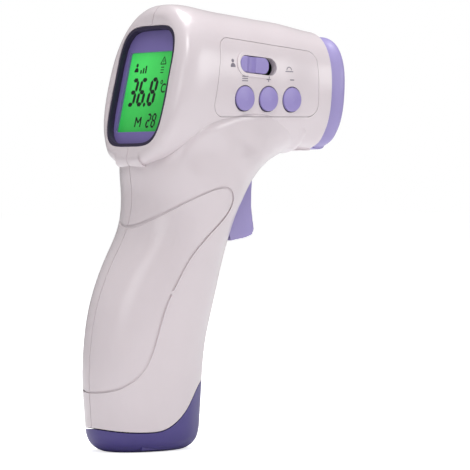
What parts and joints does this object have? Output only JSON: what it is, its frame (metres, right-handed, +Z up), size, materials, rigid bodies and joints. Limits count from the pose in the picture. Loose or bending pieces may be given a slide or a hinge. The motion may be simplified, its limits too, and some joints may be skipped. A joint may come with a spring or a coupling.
{
  "type": "infrared forehead thermometer",
  "caption": "Handheld infrared thermometer with a pistol grip, angled lit display, side control panel with buttons and a slide, sprung trigger and a pull-down battery cap.",
  "frame": {"origin": "middle of the flat resting face under the grip", "axes": "+Y is the way the nose points, +X is the control side, +Z is up"},
  "size_m": [0.0454, 0.0965, 0.1488],
  "materials": {
    "shell_white": "satin",
    "accent_violet": "fine texture",
    "button_violet": "fine texture",
    "cap_violet": "fine texture",
    "bezel_violet": "satin",
    "lcd": "polished",
    "backlight": "glowing",
    "zebra": "matt",
    "circuit_board": "solder mask",
    "black_plastic": "satin",
    "sensor_black": "matt",
    "steel": "bright",
    "nickel": "plated",
    "brass": "turned",
    "cell_wrap": "printed film",
    "sensor_filter": "coated",
    "lead_red": "satin",
    "lead_black": "satin",
    "lead_white": "satin"
  },
  "bodies": {
    "housing": {"right_shell": "shell_white", "left_shell": "shell_white", "nose_ring": "accent_violet", "sensor_shroud": "sensor_black", "sensor_holder": "brass", "thermopile_can": "nickel", "sensor_window": "sensor_filter", "sensor_board": "circuit_board", "display_bezel": "bezel_violet", "lcd_glass": "lcd", "backlight": "backlight", "zebra_strip_upper": "zebra", "zebra_strip_lower": "zebra", "main_board": "circuit_board", "controller_chip": "black_plastic", "buzzer": "black_plastic", "crystal": "nickel", "control_panel": "shell_white", "key_board": "circuit_board", "slide_switch": "steel", "trigger_pin": "steel", "trigger_switch": "black_plastic", "trigger_board": "circuit_board", "battery_cradle": "black_plastic", "cell_front": "cell_wrap", "cell_rear": "cell_wrap", "contact_front": "nickel", "contact_rear": "nickel", "mode_switch": "black_plastic", "plus_switch": "black_plastic", "minus_switch": "black_plastic", "battery_lead_plus": "lead_red", "battery_lead_minus": "lead_black", "sensor_lead": "lead_white", "key_lead": "lead_white", "case_screw_1": "steel", "case_screw_2": "steel", "case_screw_3": "steel", "case_screw_4": "steel", "case_screw_5": "steel"},
    "trigger": {"trigger": "accent_violet"},
    "plunger": {"trigger_plunger": "black_plastic"},
    "mode_key": {"mode_button": "button_violet"},
    "plus_key": {"plus_button": "button_violet"},
    "minus_key": {"minus_button": "button_violet"},
    "slide": {"slide_knob": "button_violet"},
    "cap": {"battery_cap": "cap_violet", "cap_contact": "nickel"}
  },
  "joints": [
    {"name": "trigger_pull", "type": "hinge", "parent": "housing", "child": "trigger", "pos_m": [0, 0.0362, 0.0923], "axis": [-1, 0, 0], "range_deg": [0, 6], "stiffness_Nm_per_rad": 0.12, "springref_deg": -3.44},
    {"name": "trigger_switch_press", "type": "slide", "parent": "housing", "child": "plunger", "axis": [0, -1, 0], "range_m": [0, 0.0016]},
    {"name": "cap_slide", "type": "slide", "parent": "housing", "child": "cap", "axis": [0, 0, -1], "range_m": [0, 0.03]},
    {"name": "slide_travel", "type": "slide", "parent": "housing", "child": "slide", "axis": [-0.1112, 0.9913, -0.0698], "range_m": [0, 0.0032]},
    {"name": "mode_press", "type": "slide", "parent": "housing", "child": "mode_key", "axis": [-0.9938, -0.1115, 0], "range_m": [0, 0.0008], "stiffness_N_per_m": 800, "springref_m": -0.0004},
    {"name": "plus_press", "type": "slide", "parent": "housing", "child": "plus_key", "axis": [-0.9938, -0.1115, 0], "range_m": [0, 0.0008], "stiffness_N_per_m": 800, "springref_m": -0.0004},
    {"name": "minus_press", "type": "slide", "parent": "housing", "child": "minus_key", "axis": [-0.9938, -0.1115, 0], "range_m": [0, 0.0008], "stiffness_N_per_m": 800, "springref_m": -0.0004}
  ],
  "couplings": [
    {"joint": "trigger_switch_press", "follows": "trigger_pull", "m_per_rad": 0.0143}
  ]
}
